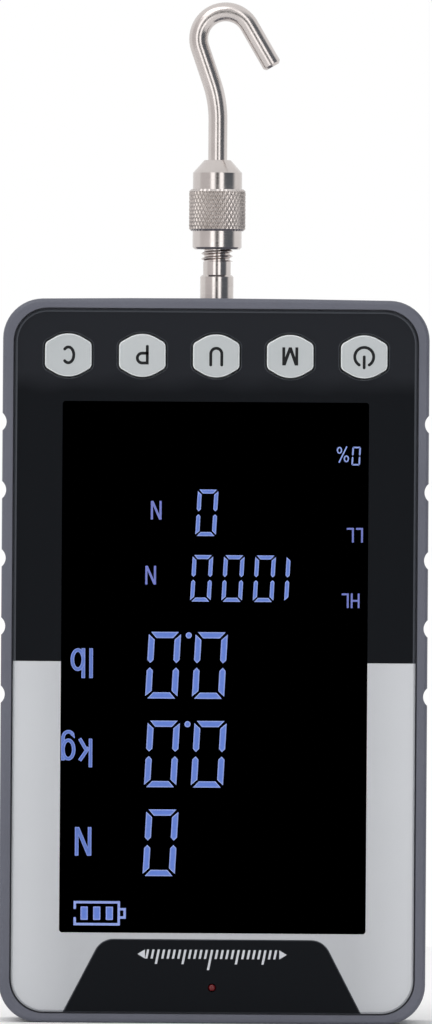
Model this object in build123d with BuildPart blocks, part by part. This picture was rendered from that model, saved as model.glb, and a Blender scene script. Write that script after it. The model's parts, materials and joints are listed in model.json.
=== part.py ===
from build123d import *
from math import ceil, radians, tan
import os

os.makedirs("parts", exist_ok=True)

# Handheld digital force gauge with a screw-on swivel hook, in millimetres.
# +Z is up along the measuring axis, which is the line X = 0, Y = 0, and the display faces -Y.
# The origin is the point where the measuring axis meets the flat base of the case.

# ------------------------------------------------------------------ driving dimensions

# Clearances
drop_in_gap = 0.2  # a piece that drops into a pocket or opening
inlay_gap = 0.06  # a trim plate beside its neighbour
running_gap = 0.05  # a sliding or turning fit, on the radius
fixed_gap = 0.02  # a pressed, glued or threaded-in piece, on the radius

# Case
case_width = 80.0
case_height = 136.0
axis_to_front = 21.0
axis_to_rear = 15.0
case_corner = 7.5
case_crown = 0.35  # rise of the top end face at its middle
case_wall = 2.4
front_wall = 2.2
front_edge_round = 0.8
rear_edge_round = 3.0

# Grip notches down both sides
notch_radius = 2.1
notch_depth = 0.77
notch_pitch = 12.775
notch_lowest_z = 61.5
notch_count = 5

# Front panel in the recess of the front shell
rim_side = 1.95
rim_bottom = 1.7
rim_top = 1.9
panel_gap = 0.3
panel_setback = 0.8
panel_thickness = 1.2
panel_corner = 6.2
panel_bevel = 0.35
inlay_thickness = 0.5
inlay_top_z = 67.8

# Type plate at the foot of the panel
plate_top_z = 15.7
plate_top_half = 20.8
plate_foot_half = 27.9
plate_corner = 3.8
plate_bevel = 0.12

# Display
window_side_inset = 9.0  # from the side of the panel
window_over_plate = 1.2
window_below_keys = 8.6  # below the centre line of the key row
window_corner = 0.6
lens_lip = 2.0
lens_lip_thickness = 1.0
lcd_inset = 0.3
lcd_thickness = 2.2
strip_width = 1.5
strip_end_inset = 1.75
backlight_inset = 2.4
frame_wall = 1.3

# Keys
key_names = ("clear", "peak", "unit", "menu", "power")
key_end_inset = 10.01  # centre of an end key from the side of the panel
key_row_drop = 10.8  # below the top of the case
key_width = 8.75
key_shoulder = 2.3  # half height of the upright sides
key_apex = 4.83  # half height of the hexagon before its apex is rounded
key_apex_round = 5.1
key_side_round = 1.15
key_rise = 0.7
key_gap = 0.3
key_wall_gap = 0.3
key_edge_round = 0.3
key_flange = 0.8
key_flange_thickness = 1.0
key_travel = 0.6
key_stem_radius = 2.0
key_opening_bevel = 0.15

# Press switches under the keys
switch_size = 6.0
switch_height = 3.5
switch_floor = 0.6
plunger_radius = 1.7
plunger_rise = 1.0
plunger_end_gap = 0.4  # room under a plunger that is pressed home

# Main board
board_thickness = 1.6
board_side_inset = 8.5  # from the side of the case
board_bottom_z = 4.0
board_top_drop = 4.0  # below the top of the case
board_corner = 2.0
board_boss_radius = 1.9
board_boss_drop = 2.4  # below the upper edge of the board
board_boss_low_z = 9.3

# Indicator
led_z = 6.7
led_width = 3.0
led_height = 1.6
led_thickness = 0.9
pipe_radius = 0.75
pipe_dome_round = 0.6
pipe_rod_radius = 1.2
pipe_flange_radius = 1.6
pipe_flange_thickness = 0.8

# Charging socket in the base
socket_width = 9.0
socket_depth = 3.2
socket_length = 7.4
socket_shell = 0.3
socket_mouth_z = 0.6
socket_corner = 1.2
tongue_width = 6.4
tongue_thickness = 0.7
tongue_length = 4.6

# Small parts on the back of the board
chip_height = 1.2
buzzer_radius = 6.0
buzzer_height = 3.0
buzzer_port_radius = 0.9
connector_width = 8.0
connector_length = 4.4
connector_height = 3.0

# Load cell, an S-shaped beam on the measuring axis
cell_width = 26.0
cell_height = 56.0
cell_thickness = 12.7
cell_bottom_z = 34.0
cell_slot = 2.5
cell_slot_inset = 15.0
cell_slot_web = 7.0
cell_hole_radius = 5.5
cell_edge = 0.5
stud_depth = 10.0
stud_chamfer = 0.5
gauge_width = 3.2
gauge_height = 6.0
gauge_thickness = 0.2

# Chassis
chassis_thickness = 3.0
chassis_side_inset = 9.0  # from the side of the case
chassis_bottom_z = 8.0
chassis_top_drop = 14.0  # below the top of the case
chassis_back = 11.0
shelf_half_width = 17.0
shelf_front = -7.5
chassis_corner = 3.0

# Battery
battery_radius = 7.1
battery_length = 50.0
battery_shift = 3.0  # its middle below the middle between the shelf and the upper chassis screws
battery_x = -22.6
battery_y = -0.4
battery_cap_radius = 2.8
battery_cap_rise = 1.0
cradle_end = 2.0
cradle_side = 1.0
lead_radius = 0.45
lead_bend_share = 0.45  # bend radius as a share of the shorter run beside it

# Screws
screw_radius = 1.5
small_screw_radius = 1.25
head_radius = 2.6
small_head_radius = 2.0
head_height = 1.7
hex_socket = 0.52  # hexagon socket radius as a share of the head radius
hex_depth = 1.0
case_screw_length = 23.0
board_screw_length = 6.5
chassis_screw_length = 6.2
case_screw_inset = 5.0  # from the side of the case
case_screw_low_z = 9.0
case_screw_drop = 18.5  # below the top of the case
case_post_radius = 2.8
chassis_screw_inset = 5.0  # from the side of the chassis
chassis_screw_low_z = 14.0
chassis_screw_drop = 10.0  # below the upper edge of the chassis
chassis_boss_radius = 3.2

# Stand mount in the rear face, M4
stand_spacing_x = 40.0
stand_spacing_z = 60.0
stand_centre_z = 50.0
stand_hole_radius = 1.65
insert_radius = 2.9
stand_boss_radius = 4.6

# Bare rating plate on the rear face
label_width = 46.0
label_height = 20.0
label_thickness = 0.3
label_over_stand = 13.0  # its lower edge above the upper stand holes
label_corner = 2.0

# Seal in the joint of the case
seal_width = 0.8
seal_depth = 0.8
seal_from_outside = 1.3

# Measuring shaft, heights above the top of the case where they say above
shaft_radius = 3.15
shaft_above = 4.63
shaft_chamfer = 0.35
neck_radius = 2.625
neck_length = 2.54
stud_radius = 3.0
locknut_height = 5.0
locknut_across_corners = 11.0
thread_pitch = 1.0
thread_major_radius = 2.965
thread_minor_radius = 2.4
thread_length = 9.4
thread_end = 0.2  # plain end of the core past the thread
thread_flank = 30.0
thread_root_sink = 0.06
thread_radial_gap = 0.1
thread_axial_gap = 0.05

# Guide bush in the top of the case
bush_radius = 4.4
bush_flange_radius = 6.2
bush_flange_height = 1.8
shaft_seal_height = 0.6
bush_below_top = 0.8

# Screw-on coupling
coupling_above = 9.46
collar_radius = 4.65
nut_height = 3.44
nut_chamfer = 0.4
spigot_chamfer = 0.3
spigot_radius = 3.9
spigot_height = 4.6
knurl_radius = 5.325
knurl_height = 7.9
knurl_chamfer = 0.4
sleeve_height = 3.1
cone_height = 2.4
cone_top_radius = 2.5

# Hook of bent wire, turning in the coupling
wire_radius = 1.8
wire_above = 18.9
kink_above = 33.78
kink_radius = 22.0
hook_lean = 19.0
hook_run = 6.98
hook_bend_radius = 5.1
limb_lean = 30.3
limb_length = 9.0
tip_chamfer = 0.45
hook_collar_radius = 3.4
hook_collar_height = 2.45
washer_height = 0.8
washer_radius = 3.7
swivel_gap = 0.05

# ------------------------------------------------------------------ places worked out from them

rim_front = -axis_to_front
panel_front = rim_front + panel_setback
panel_back = panel_front + panel_thickness
wall_back = panel_back + front_wall
lens_back = panel_back + lens_lip_thickness
lcd_back = lens_back + lcd_thickness
key_front = panel_front - key_rise
flange_front = wall_back + inlay_gap
flange_back = flange_front + key_flange_thickness
stem_back = flange_back + drop_in_gap
switch_front = stem_back + plunger_rise
board_front = switch_front + switch_height
board_back = board_front + board_thickness
plunger_length = plunger_rise + switch_height - switch_floor - key_travel - plunger_end_gap
rear_face = axis_to_rear
rear_wall_front = rear_face - case_wall
chassis_front = chassis_back - chassis_thickness

panel_half_width = case_width / 2 - rim_side - panel_gap
panel_bottom_z = rim_bottom + panel_gap
panel_top_z = case_height - rim_top - panel_gap
recess_bottom_z = rim_bottom
recess_top_z = case_height - rim_top
key_pitch = 2 * (panel_half_width - key_end_inset) / (len(key_names) - 1)
key_row_z = case_height - key_row_drop
window_width = 2 * (panel_half_width - window_side_inset)
window_bottom_z = plate_top_z + window_over_plate
window_top_z = key_row_z - window_below_keys
window_centre_z = (window_bottom_z + window_top_z) / 2
strip_length = window_width - 2 * strip_end_inset
lcd_half_height = (window_top_z - window_bottom_z) / 2 + lens_lip - lcd_inset
key_spots = [((i - (len(key_names) - 1) / 2) * key_pitch, key_row_z) for i in range(len(key_names))]
board_half_width = case_width / 2 - board_side_inset
board_top_z = case_height - board_top_drop
board_boss_x = 1.5 * key_pitch
board_boss_top_z = board_top_z - board_boss_drop
chassis_half_width = case_width / 2 - chassis_side_inset
chassis_top_z = case_height - chassis_top_drop
chassis_screw_x = chassis_half_width - chassis_screw_inset
chassis_screw_top_z = chassis_top_z - chassis_screw_drop
case_screw_x = case_width / 2 - case_screw_inset
case_screw_top_z = case_height - case_screw_drop


def four_spots(half_width, low, top):
    """The four corners of a rectangle in X and Z, centred on the measuring axis."""
    return [(x, z) for x in (-half_width, half_width) for z in (low, top)]


case_screw_spots = four_spots(case_screw_x, case_screw_low_z, case_screw_top_z)
board_screw_spots = four_spots(board_boss_x, board_boss_low_z, board_boss_top_z)
chassis_screw_spots = four_spots(chassis_screw_x, chassis_screw_low_z, chassis_screw_top_z)
stand_low_z = stand_centre_z - stand_spacing_z / 2
stand_top_z = stand_low_z + stand_spacing_z
stand_spots = four_spots(stand_spacing_x / 2, stand_low_z, stand_top_z)
label_bottom_z = stand_top_z + label_over_stand
notch_spots = [
    (side * (case_width / 2 + notch_radius - notch_depth), notch_lowest_z + i * notch_pitch)
    for side in (-1, 1)
    for i in range(notch_count)
]

battery_centre_z = (cell_bottom_z + chassis_screw_top_z) / 2 - battery_shift
battery_bottom_z = battery_centre_z - battery_length / 2
battery_top_z = battery_centre_z + battery_length / 2

thread_crest_half = thread_pitch / 16
cell_top_z = cell_bottom_z + cell_height
cell_centre_z = cell_bottom_z + cell_height / 2
locknut_top_z = cell_top_z + locknut_height
wall_below_top_z = case_height - case_wall
shaft_top_z = case_height + shaft_above
thread_bottom_z = shaft_top_z + neck_length
thread_top_z = thread_bottom_z + thread_length
coupling_bottom_z = case_height + coupling_above
nut_top_z = coupling_bottom_z + nut_height
spigot_top_z = nut_top_z + spigot_height
knurl_top_z = nut_top_z + knurl_height
cone_bottom_z = knurl_top_z + sleeve_height
cone_top_z = cone_bottom_z + cone_height
wire_bottom_z = case_height + wire_above
hook_collar_bottom_z = wire_bottom_z + drop_in_gap
hook_collar_top_z = hook_collar_bottom_z + hook_collar_height
washer_bottom_z = hook_collar_top_z + swivel_gap
washer_top_z = washer_bottom_z + washer_height
shoulder_z = washer_top_z + swivel_gap


# ------------------------------------------------------------------ helpers


def save(piece, name):
    """Label a finished piece and write it to its own file."""
    piece.part.label = name
    export_step(piece.part, f"parts/{name}.step")


def facing_front(y):
    """Plane at depth y that faces the user: its own axes are X and Z."""
    return Plane.XZ.offset(-y)


def facing_rear(y):
    """Plane at depth y that faces away from the user."""
    return Plane(origin=(0, y, 0), x_dir=(-1, 0, 0), z_dir=(0, 1, 0))


def grown(outline, amount):
    """The outline moved outwards by amount, or inwards when it is negative."""
    with BuildSketch() as result:
        add(outline)
        offset(amount=amount)
    return result.sketch


def rounded_box(half_width, bottom, top, corner):
    """Rounded rectangle in X and Z, centred on the measuring axis."""
    with BuildSketch() as result:
        with Locations((0, (bottom + top) / 2)):
            RectangleRounded(2 * half_width, top - bottom, corner)
    return result.sketch


def layer(outline, front, back, mode=Mode.ADD, spots=((0, 0),)):
    """Add or cut an outline drawn in X and Z, between two depths along Y, once at each spot."""
    with BuildSketch(facing_front(back)) as profile:
        with Locations(*spots):
            add(outline)
    extrude(profile.sketch, amount=back - front, mode=mode)


def discs(spots, radius, front, back, mode=Mode.ADD):
    """Add or cut round posts or holes along Y at spots given in X and Z."""
    with BuildSketch(facing_front(back)) as profile:
        with Locations(*spots):
            Circle(radius)
    extrude(profile.sketch, amount=back - front, mode=mode)


def ring(inner, outer, bottom, top):
    """Plain ring around the measuring axis."""
    with BuildPart() as result:
        with BuildSketch(Plane.XY.offset(bottom)):
            Circle(outer)
            Circle(inner, mode=Mode.SUBTRACT)
        extrude(amount=top - bottom)
    return result


def screws(seat, spots, radius, length, head):
    """Socket-head screws seated on a plane whose normal points out of their heads."""
    with BuildPart() as result:
        with BuildSketch(seat):
            with Locations(*spots):
                Circle(head)
        extrude(amount=head_height)
        with BuildSketch(seat):
            with Locations(*spots):
                Circle(radius)
        extrude(amount=-length)
        with BuildSketch(seat.offset(head_height)):
            with Locations(*spots):
                RegularPolygon(hex_socket * head, 6)
        extrude(amount=-hex_depth, mode=Mode.SUBTRACT)
    return result


def thread_ridge(minor, major, crest_half, bottom, top):
    """Helical ridge of a 60-degree thread, cut off flat at its two ends."""
    root_half = crest_half + (major - minor + thread_root_sink) * tan(radians(thread_flank))
    run_out = top - bottom + 2 * thread_pitch
    with BuildPart() as result:
        with BuildLine() as turns:
            Helix(thread_pitch, run_out, minor - thread_root_sink, center=(0, 0, bottom - thread_pitch))
        start = Plane(origin=turns.line @ 0, x_dir=(1, 0, 0), z_dir=turns.line % 0)
        with BuildSketch(start):
            with BuildLine():
                depth = major - minor + thread_root_sink
                Polyline(
                    (0, -root_half), (depth, -crest_half), (depth, crest_half), (0, root_half), close=True
                )
            make_face()
        sweep(path=turns.wire(), is_frenet=True)
        split(bisect_by=Plane.XY.offset(bottom), keep=Keep.TOP)
        split(bisect_by=Plane.XY.offset(top), keep=Keep.BOTTOM)
    return result.part


def lead(points):
    """Round lead along straight runs joined by the largest arc that they leave room for."""
    runs = [(Vector(b) - Vector(a)).length for a, b in zip(points, points[1:])]
    with BuildPart() as result:
        with BuildLine() as route:
            FilletPolyline(*points, radius=lead_bend_share * min(runs))
        with BuildSketch(Plane(origin=route.line @ 0, z_dir=route.line % 0)):
            Circle(lead_radius)
        sweep(path=route.wire())
    return result


# ------------------------------------------------------------------ shared outlines in X and Z

with BuildSketch() as case_outline:
    with BuildLine():
        half = case_width / 2
        shoulder = case_height - case_crown
        foot_left, foot_right = (-half, 0), (half, 0)
        top_left, top_right = (-half, shoulder), (half, shoulder)
        Polyline(top_left, foot_left, foot_right, top_right)
        ThreePointArc(top_right, (0, case_height), top_left)
    make_face()
    fillet(case_outline.vertices(), case_corner)

with BuildSketch() as key_outline:
    with BuildLine():
        side = key_width / 2
        Polyline(
            (-side, -key_shoulder),
            (0, -key_apex),
            (side, -key_shoulder),
            (side, key_shoulder),
            (0, key_apex),
            (-side, key_shoulder),
            close=True,
        )
    make_face()
    apexes = key_outline.vertices().group_by(Axis.Y)
    fillet(apexes[0] + apexes[-1], key_apex_round)
    corners = key_outline.vertices().group_by(Axis.X)
    fillet(corners[0] + corners[-1], key_side_round)

with BuildSketch() as plate_outline:
    with BuildLine():
        Polyline(
            (-plate_foot_half, panel_bottom_z),
            (plate_foot_half, panel_bottom_z),
            (plate_top_half, plate_top_z),
            (-plate_top_half, plate_top_z),
            close=True,
        )
    make_face()
    fillet(plate_outline.vertices().group_by(Axis.Y)[-1], plate_corner)

with BuildSketch() as seal_outline:
    add(grown(case_outline.sketch, -seal_from_outside))
    add(grown(case_outline.sketch, -seal_from_outside - seal_width), mode=Mode.SUBTRACT)

cavity_outline = grown(case_outline.sketch, -case_wall)
recess_corner = panel_corner + panel_gap
recess_outline = rounded_box(panel_half_width + panel_gap, recess_bottom_z, recess_top_z, recess_corner)
panel_outline = rounded_box(panel_half_width, panel_bottom_z, panel_top_z, panel_corner)
window_outline = rounded_box(window_width / 2, window_bottom_z, window_top_z, window_corner)
lens_outline = grown(window_outline, lens_lip)
lcd_outline = grown(lens_outline, -lcd_inset)


# ------------------------------------------------------------------ case


def cut_shaft_hole():
    """Hole for the guide bush in the top wall, shared by both shells."""
    with BuildSketch(Plane.XY.offset(wall_below_top_z - case_wall)) as hole:
        Circle(bush_radius + fixed_gap)
    extrude(hole.sketch, amount=2 * case_wall + case_crown, mode=Mode.SUBTRACT)


def cut_grip_notches(front, back):
    """Half-round finger notches down both sides."""
    discs(notch_spots, notch_radius, front, back, Mode.SUBTRACT)


with BuildPart() as front_shell:
    layer(case_outline.sketch, rim_front, 0)
    fillet(front_shell.faces().sort_by(Axis.Y)[0].edges(), front_edge_round)
    layer(cavity_outline, wall_back, 0, Mode.SUBTRACT)
    discs(case_screw_spots, case_post_radius, wall_back, 0)
    discs(board_screw_spots, board_boss_radius, wall_back, board_front)
    layer(recess_outline, rim_front, panel_back, Mode.SUBTRACT)
    layer(grown(lens_outline, drop_in_gap), panel_back, wall_back, Mode.SUBTRACT)
    key_hole = grown(key_outline.sketch, key_wall_gap)
    layer(key_hole, panel_back, wall_back, Mode.SUBTRACT, key_spots)
    discs([(0, led_z)], pipe_radius + running_gap, panel_back, wall_back, Mode.SUBTRACT)
    case_pilot_front = rear_face - case_screw_length - 2 * head_height
    discs(case_screw_spots, screw_radius + fixed_gap, case_pilot_front, 0, Mode.SUBTRACT)
    board_pilot_front = board_back - board_screw_length - drop_in_gap
    discs(board_screw_spots, small_screw_radius + fixed_gap, board_pilot_front, board_front, Mode.SUBTRACT)
    cut_shaft_hole()
    cut_grip_notches(rim_front, 0)
    with BuildSketch(Plane.XY):
        with Locations((0, board_back + socket_depth / 2)):
            RectangleRounded(
                socket_width + 2 * drop_in_gap, socket_depth + 2 * drop_in_gap, socket_corner + drop_in_gap
            )
    extrude(amount=case_wall, mode=Mode.SUBTRACT)

with BuildPart() as rear_shell:
    layer(case_outline.sketch, 0, rear_face)
    fillet(rear_shell.faces().sort_by(Axis.Y)[-1].edges(), rear_edge_round)
    layer(cavity_outline, 0, rear_wall_front, Mode.SUBTRACT)
    discs(case_screw_spots, case_post_radius, 0, rear_wall_front)
    discs(chassis_screw_spots, chassis_boss_radius, chassis_back, rear_wall_front)
    discs(stand_spots, stand_boss_radius, chassis_back, rear_wall_front)
    discs(case_screw_spots, screw_radius + running_gap, 0, rear_face, Mode.SUBTRACT)
    head_seat = rear_face - head_height - drop_in_gap
    discs(case_screw_spots, head_radius + drop_in_gap, head_seat, rear_face, Mode.SUBTRACT)
    chassis_pilot_back = chassis_front + chassis_screw_length + drop_in_gap
    discs(chassis_screw_spots, screw_radius + fixed_gap, chassis_back, chassis_pilot_back, Mode.SUBTRACT)
    discs(stand_spots, insert_radius + fixed_gap, chassis_back, rear_face, Mode.SUBTRACT)
    label_half = label_width / 2
    label_outline = rounded_box(
        label_half, label_bottom_z, label_bottom_z + label_height, label_corner
    )
    layer(grown(label_outline, inlay_gap), rear_face - label_thickness, rear_face, Mode.SUBTRACT)
    layer(seal_outline.sketch, 0, seal_depth, Mode.SUBTRACT)
    cut_shaft_hole()
    cut_grip_notches(0, rear_face)

with BuildPart() as case_seal:
    layer(seal_outline.sketch, 0, seal_depth)
    cut_shaft_hole()

save(front_shell, "front_shell")
save(rear_shell, "rear_shell")
save(case_seal, "case_seal")

case_screws = screws(facing_rear(head_seat), case_screw_spots, screw_radius, case_screw_length, head_radius)
save(case_screws, "case_screws")

with BuildPart() as stand_inserts:
    discs(stand_spots, insert_radius, chassis_back, rear_face)
    discs(stand_spots, stand_hole_radius, chassis_back, rear_face, Mode.SUBTRACT)
save(stand_inserts, "stand_inserts")

with BuildPart() as rear_label:
    layer(label_outline, rear_face - label_thickness, rear_face)
save(rear_label, "rear_label")


# ------------------------------------------------------------------ front panel and display

key_opening = grown(key_outline.sketch, key_gap)

with BuildPart() as front_panel:
    layer(panel_outline, panel_front, panel_back)
    chamfer(front_panel.faces().sort_by(Axis.Y)[0].edges(), panel_bevel)
    layer(window_outline, panel_front, panel_back, Mode.SUBTRACT)
    layer(key_opening, panel_front, panel_back, Mode.SUBTRACT, key_spots)
    key_rims = front_panel.faces().sort_by(Axis.Y)[0].edges().filter_by_position(
        Axis.Z, window_top_z + plate_bevel, panel_top_z - panel_bevel - plate_bevel
    )
    chamfer(key_rims, key_opening_bevel)
    with BuildSketch(facing_front(panel_front + inlay_thickness)):
        with Locations((0, (panel_bottom_z + inlay_top_z) / 2)):
            Rectangle(case_width, inlay_top_z - panel_bottom_z)
    extrude(amount=inlay_thickness, mode=Mode.SUBTRACT)
    discs([(0, led_z)], pipe_radius + running_gap, panel_front, panel_back, Mode.SUBTRACT)
save(front_panel, "front_panel")

with BuildPart() as silver_overlay:
    layer(panel_outline, panel_front, panel_front + inlay_thickness)
    chamfer(silver_overlay.faces().sort_by(Axis.Y)[0].edges(), panel_bevel)
    layer(window_outline, panel_front, panel_back, Mode.SUBTRACT)
    layer(grown(plate_outline.sketch, inlay_gap), panel_front, panel_back, Mode.SUBTRACT)
    split(bisect_by=Plane.XY.offset(inlay_top_z - inlay_gap), keep=Keep.BOTTOM)
save(silver_overlay, "silver_overlay")

with BuildPart() as type_plate:
    layer(plate_outline.sketch, panel_front, panel_front + inlay_thickness)
    chamfer(type_plate.faces().sort_by(Axis.Y)[0].edges(), plate_bevel)
    discs([(0, led_z)], pipe_radius + running_gap, panel_front, panel_back, Mode.SUBTRACT)
save(type_plate, "type_plate")

with BuildPart() as display_lens:
    layer(lens_outline, panel_back, lens_back)
    layer(grown(window_outline, -inlay_gap), panel_front, panel_back)
save(display_lens, "display_lens")

with BuildPart() as lcd_glass:
    layer(lcd_outline, lens_back, lcd_back)
save(lcd_glass, "lcd_glass")

with BuildPart() as backlight:
    layer(grown(lcd_outline, -backlight_inset), lcd_back, board_front)
save(backlight, "backlight")

with BuildPart() as contact_strips:
    strip_z = lcd_half_height - strip_width / 2 - lcd_inset
    with BuildSketch(facing_front(board_front)):
        with Locations((0, window_centre_z - strip_z), (0, window_centre_z + strip_z)):
            Rectangle(strip_length, strip_width)
    extrude(amount=board_front - lcd_back)
save(contact_strips, "contact_strips")

with BuildPart() as lcd_frame:
    frame_inside = grown(lcd_outline, drop_in_gap)
    layer(grown(frame_inside, frame_wall), wall_back, board_front)
    layer(frame_inside, wall_back, board_front, Mode.SUBTRACT)
save(lcd_frame, "lcd_frame")

with BuildPart() as light_pipe:
    discs([(0, led_z)], pipe_radius, panel_front, wall_back)
    fillet(light_pipe.faces().sort_by(Axis.Y)[0].edges(), pipe_dome_round)
    discs([(0, led_z)], pipe_flange_radius, wall_back, wall_back + pipe_flange_thickness)
    discs([(0, led_z)], pipe_rod_radius, wall_back + pipe_flange_thickness, board_front - led_thickness)
save(light_pipe, "light_pipe")

with BuildPart() as charge_led:
    with BuildSketch(facing_front(board_front)):
        with Locations((0, led_z)):
            Rectangle(led_width, led_height)
    extrude(amount=led_thickness)
save(charge_led, "charge_led")


# ------------------------------------------------------------------ keys and their switches

for name, spot in zip(key_names, key_spots):
    with BuildPart() as key:
        layer(key_outline.sketch, key_front, flange_front, spots=[spot])
        fillet(key.faces().sort_by(Axis.Y)[0].edges(), key_edge_round)
        layer(grown(key_outline.sketch, key_flange), flange_front, flange_back, spots=[spot])
        discs([spot], key_stem_radius, flange_back, stem_back)
    save(key, f"key_{name}")

    with BuildPart() as plunger:
        discs([spot], plunger_radius, stem_back, stem_back + plunger_length)
    save(plunger, f"switch_plunger_{name}")

with BuildPart() as switch_bodies:
    with BuildSketch(facing_front(board_front)):
        with Locations(*key_spots):
            Rectangle(switch_size, switch_size)
    extrude(amount=switch_height)
    bore_radius = plunger_radius + running_gap
    discs(key_spots, bore_radius, switch_front, board_front - switch_floor, Mode.SUBTRACT)
save(switch_bodies, "switch_bodies")


# ------------------------------------------------------------------ main board

with BuildPart() as main_board:
    layer(rounded_box(board_half_width, board_bottom_z, board_top_z, board_corner), board_front, board_back)
    discs(board_screw_spots, small_screw_radius + running_gap, board_front, board_back, Mode.SUBTRACT)
save(main_board, "main_board")

board_screws = screws(
    facing_rear(board_back), board_screw_spots, small_screw_radius, board_screw_length, small_head_radius
)
save(board_screws, "board_screws")

# Processor, converter, amplifier and charger: centre X, centre Z, width and height of each
chips = (
    (0.0, 107.0, 12.0, 12.0),
    (19.0, 62.0, 7.0, 9.0),
    (-19.0, 26.0, 5.0, 6.0),
    (12.0, 18.0, 6.0, 5.0),
)

with BuildPart() as board_chips:
    with BuildSketch(facing_front(board_back + chip_height)):
        for x, z, width, height in chips:
            with Locations((x, z)):
                Rectangle(width, height)
    extrude(amount=chip_height)
save(board_chips, "board_chips")

buzzer_spot = (20.0, 100.0)

with BuildPart() as buzzer:
    discs([buzzer_spot], buzzer_radius, board_back, board_back + buzzer_height)
    port_front = board_back + buzzer_height / 2
    discs([buzzer_spot], buzzer_port_radius, port_front, board_back + buzzer_height, Mode.SUBTRACT)
save(buzzer, "buzzer")

battery_plug = (battery_x, battery_bottom_z - cradle_end - connector_width / 2)
sensor_plug = (cell_width / 2 + connector_width, cell_bottom_z + connector_width)
connector_back = board_back + connector_height

with BuildPart() as board_connectors:
    with BuildSketch(facing_front(connector_back)):
        with Locations(battery_plug, sensor_plug):
            Rectangle(connector_width, connector_length)
    extrude(amount=connector_height)
save(board_connectors, "board_connectors")

with BuildPart() as usb_socket:
    socket_y = board_back + socket_depth / 2
    with BuildSketch(Plane.XY.offset(socket_mouth_z)):
        with Locations((0, socket_y)):
            RectangleRounded(socket_width, socket_depth, socket_corner)
    extrude(amount=socket_length)
    with BuildSketch(Plane.XY.offset(socket_mouth_z)):
        with Locations((0, socket_y)):
            RectangleRounded(
                socket_width - 2 * socket_shell, socket_depth - 2 * socket_shell, socket_corner - socket_shell
            )
    extrude(amount=socket_length - socket_shell, mode=Mode.SUBTRACT)
    with BuildSketch(Plane.XY.offset(socket_mouth_z + socket_length)):
        with Locations((0, socket_y)):
            Rectangle(tongue_width, tongue_thickness)
    extrude(amount=-tongue_length - socket_shell)
save(usb_socket, "usb_socket")


# ------------------------------------------------------------------ chassis and load cell

shelf_top_z = cell_bottom_z
shelf_bottom_z = shelf_top_z - chassis_thickness

with BuildPart() as chassis:
    layer(
        rounded_box(chassis_half_width, chassis_bottom_z, chassis_top_z, chassis_corner),
        chassis_front,
        chassis_back,
    )
    with BuildSketch(Plane.XY.offset(shelf_bottom_z)):
        with Locations((0, (shelf_front + chassis_front) / 2)):
            Rectangle(2 * shelf_half_width, chassis_front - shelf_front)
    extrude(amount=chassis_thickness)
    with BuildSketch(Plane.XY.offset(shelf_bottom_z)):
        Circle(stud_radius + running_gap)
    extrude(amount=chassis_thickness, mode=Mode.SUBTRACT)
    discs(chassis_screw_spots, screw_radius + running_gap, chassis_front, chassis_back, Mode.SUBTRACT)
    discs(stand_spots, stand_hole_radius + drop_in_gap, chassis_front, chassis_back, Mode.SUBTRACT)
save(chassis, "chassis")

chassis_screws = screws(
    facing_front(chassis_front), chassis_screw_spots, screw_radius, chassis_screw_length, head_radius
)
save(chassis_screws, "chassis_screws")

with BuildPart() as load_cell:
    with BuildSketch(facing_front(cell_thickness / 2)):
        with Locations((0, cell_centre_z)):
            Rectangle(cell_width, cell_height)
        slot_length = cell_width - cell_slot_web
        slot_x = cell_slot_web / 2
        slot_z = cell_height / 2 - cell_slot_inset
        with Locations((-slot_x, cell_centre_z - slot_z), (slot_x, cell_centre_z + slot_z)):
            Rectangle(slot_length, cell_slot, mode=Mode.SUBTRACT)
        with Locations((0, cell_centre_z)):
            Circle(cell_hole_radius, mode=Mode.SUBTRACT)
    extrude(amount=cell_thickness)
    with BuildSketch(Plane.XY.offset(cell_bottom_z)):
        Circle(stud_radius + fixed_gap)
    extrude(amount=stud_depth + drop_in_gap, mode=Mode.SUBTRACT)
    with BuildSketch(Plane.XY.offset(cell_top_z)):
        Circle(stud_radius + fixed_gap)
    extrude(amount=-stud_depth - drop_in_gap, mode=Mode.SUBTRACT)
save(load_cell, "load_cell")

with BuildPart() as strain_gauges:
    gauge_x = cell_hole_radius + gauge_width / 2 + cell_edge
    gauge_spots = [(-gauge_x, cell_centre_z), (gauge_x, cell_centre_z)]
    for front in (-cell_thickness / 2 - gauge_thickness, cell_thickness / 2):
        with BuildSketch(facing_front(front + gauge_thickness)):
            with Locations(*gauge_spots):
                Rectangle(gauge_width, gauge_height)
        extrude(amount=gauge_thickness)
save(strain_gauges, "strain_gauges")

with BuildPart() as load_cell_bolt:
    with BuildSketch(Plane.XY.offset(shelf_bottom_z - locknut_height)):
        RegularPolygon(locknut_across_corners / 2, 6)
    extrude(amount=locknut_height)
    with BuildSketch(Plane.XY.offset(shelf_bottom_z)):
        Circle(stud_radius)
    extrude(amount=chassis_thickness + stud_depth)
save(load_cell_bolt, "load_cell_bolt")


# ------------------------------------------------------------------ battery and leads


with BuildPart() as battery:
    with BuildSketch(Plane.XY.offset(battery_bottom_z)):
        with Locations((battery_x, battery_y)):
            Circle(battery_radius)
    extrude(amount=battery_length - battery_cap_rise)
    with BuildSketch(Plane.XY.offset(battery_top_z - battery_cap_rise)):
        with Locations((battery_x, battery_y)):
            Circle(battery_cap_radius)
    extrude(amount=battery_cap_rise)
save(battery, "battery")

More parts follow.
